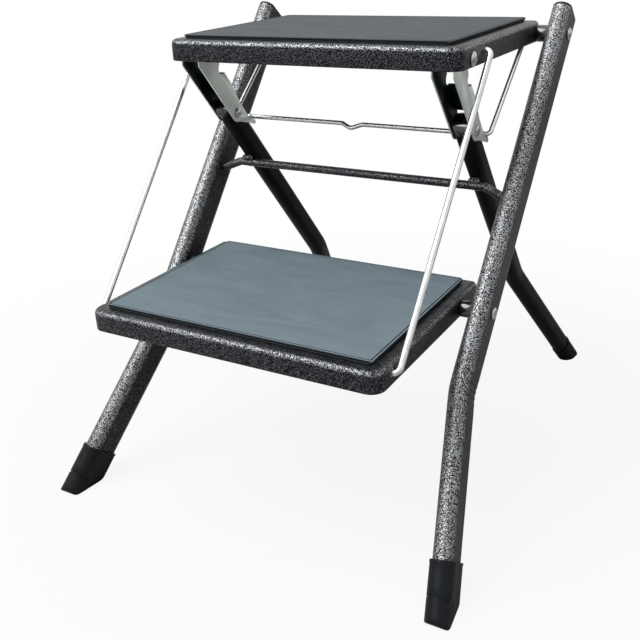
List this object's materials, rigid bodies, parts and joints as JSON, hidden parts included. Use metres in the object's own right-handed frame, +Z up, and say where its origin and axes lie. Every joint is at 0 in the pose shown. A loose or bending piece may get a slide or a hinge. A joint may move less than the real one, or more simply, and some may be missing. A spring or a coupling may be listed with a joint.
{
  "type": "folding step stool chair",
  "caption": "Folding step stool with rubber-topped steel pans on crossed flat-oval legs, parallel link rods, latch brackets and a wire locking bail.",
  "frame": {"origin": "middle of the open stool's footprint, on the floor", "axes": "+Z up, the front of the stool faces -Y, +X to the right of someone who faces the stool's front"},
  "size_m": [0.465, 0.586, 0.4844],
  "materials": {
    "hammertone_paint": "glossy dark grey hammertone with silver flecks",
    "satin_black_paint": "satin black powder coat",
    "mat_rubber": "smooth matt slate grey rubber",
    "boot_rubber": "matt blue-black rubber",
    "black_plastic": "smooth black moulded plastic",
    "zinc_plate": "zinc-plated pressed steel",
    "bright_wire": "bright plated wire",
    "rivet_steel": "plated steel rivet"
  },
  "bodies": {
    "root": {"front_leg_right": "hammertone_paint", "front_leg_left": "hammertone_paint", "front_leg_plug_right": "black_plastic", "front_leg_plug_left": "black_plastic", "front_boot_right": "boot_rubber", "front_boot_left": "boot_rubber", "upper_pivot_rivet_right": "rivet_steel", "upper_pivot_rivet_left": "rivet_steel", "upper_pivot_spacer_right": "black_plastic", "upper_pivot_spacer_left": "black_plastic", "lower_pivot_rivet_right": "rivet_steel", "lower_pivot_rivet_left": "rivet_steel", "lower_pivot_spacer_right": "black_plastic", "lower_pivot_spacer_left": "black_plastic"},
    "upper_step": {"upper_step_pan": "hammertone_paint", "upper_step_mat": "mat_rubber", "latch_rivet_right": "rivet_steel", "latch_rivet_left": "rivet_steel", "latch_spacer_right": "rivet_steel", "latch_spacer_left": "rivet_steel"},
    "lower_step": {"lower_step_pan": "hammertone_paint", "lower_step_mat": "mat_rubber"},
    "link_left": {"link_rod_left": "bright_wire"},
    "link_right": {"link_rod_right": "bright_wire"},
    "rear_legs": {"rear_leg_right": "satin_black_paint", "rear_leg_left": "satin_black_paint", "rear_leg_plug_right": "black_plastic", "rear_leg_plug_left": "black_plastic", "rear_foot_cap_right": "boot_rubber", "rear_foot_cap_left": "boot_rubber", "cross_rod": "hammertone_paint", "rod_weld_upper_right": "hammertone_paint", "rod_weld_upper_left": "hammertone_paint", "rod_weld_lower_right": "hammertone_paint", "rod_weld_lower_left": "hammertone_paint", "knee_pin_right": "rivet_steel", "knee_pin_left": "rivet_steel"},
    "latch_left": {"latch_bracket_left": "zinc_plate", "knee_rivet_outer_left": "rivet_steel", "knee_rivet_inner_left": "rivet_steel"},
    "latch_right": {"latch_bracket_right": "zinc_plate", "knee_rivet_outer_right": "rivet_steel", "knee_rivet_inner_right": "rivet_steel"},
    "bail": {"locking_bail": "bright_wire"}
  },
  "joints": [
    {"name": "upper_step_hinge", "type": "hinge", "parent": "root", "child": "upper_step", "pos_m": [0, 0.10815, 0.4525], "axis": [1, 0, 0], "range_deg": [0, 41.5]},
    {"name": "lower_step_hinge", "type": "hinge", "parent": "root", "child": "lower_step", "pos_m": [0, -0.09072, 0.2155], "axis": [1, 0, 0], "range_deg": [0, 41.6]},
    {"name": "link_left_hinge", "type": "hinge", "parent": "upper_step", "child": "link_left", "pos_m": [0, -0.04886, 0.455], "axis": [1, 0, 0], "range_deg": [-41.6, 0]},
    {"name": "link_right_hinge", "type": "hinge", "parent": "upper_step", "child": "link_right", "pos_m": [0, -0.04886, 0.455], "axis": [1, 0, 0], "range_deg": [-41.6, 0]},
    {"name": "rear_legs_hinge", "type": "hinge", "parent": "root", "child": "rear_legs", "pos_m": [0, -0.0127, 0.30848], "axis": [1, 0, 0], "range_deg": [-72.1, 0]},
    {"name": "latch_left_hinge", "type": "hinge", "parent": "upper_step", "child": "latch_left", "pos_m": [0, -0.08016, 0.4515], "axis": [1, 0, 0], "range_deg": [0, 39.4]},
    {"name": "latch_right_hinge", "type": "hinge", "parent": "upper_step", "child": "latch_right", "pos_m": [0, -0.08016, 0.4515], "axis": [1, 0, 0], "range_deg": [0, 39.4]},
    {"name": "bail_hinge", "type": "hinge", "parent": "latch_left", "child": "bail", "pos_m": [0, -0.01076, 0.37005], "axis": [1, 0, 0], "range_deg": [-81.2, 0]}
  ],
  "couplings": [
    {"joint": "lower_step_hinge", "follows": "upper_step_hinge", "ratio": 1},
    {"joint": "link_left_hinge", "follows": "upper_step_hinge", "ratio": -1},
    {"joint": "link_right_hinge", "follows": "upper_step_hinge", "ratio": -1},
    {"joint": "rear_legs_hinge", "follows": "upper_step_hinge", "ratio": -1.7349},
    {"joint": "latch_left_hinge", "follows": "upper_step_hinge", "ratio": 0.947},
    {"joint": "latch_right_hinge", "follows": "upper_step_hinge", "ratio": 0.947},
    {"joint": "bail_hinge", "follows": "upper_step_hinge", "ratio": -1.9542}
  ]
}
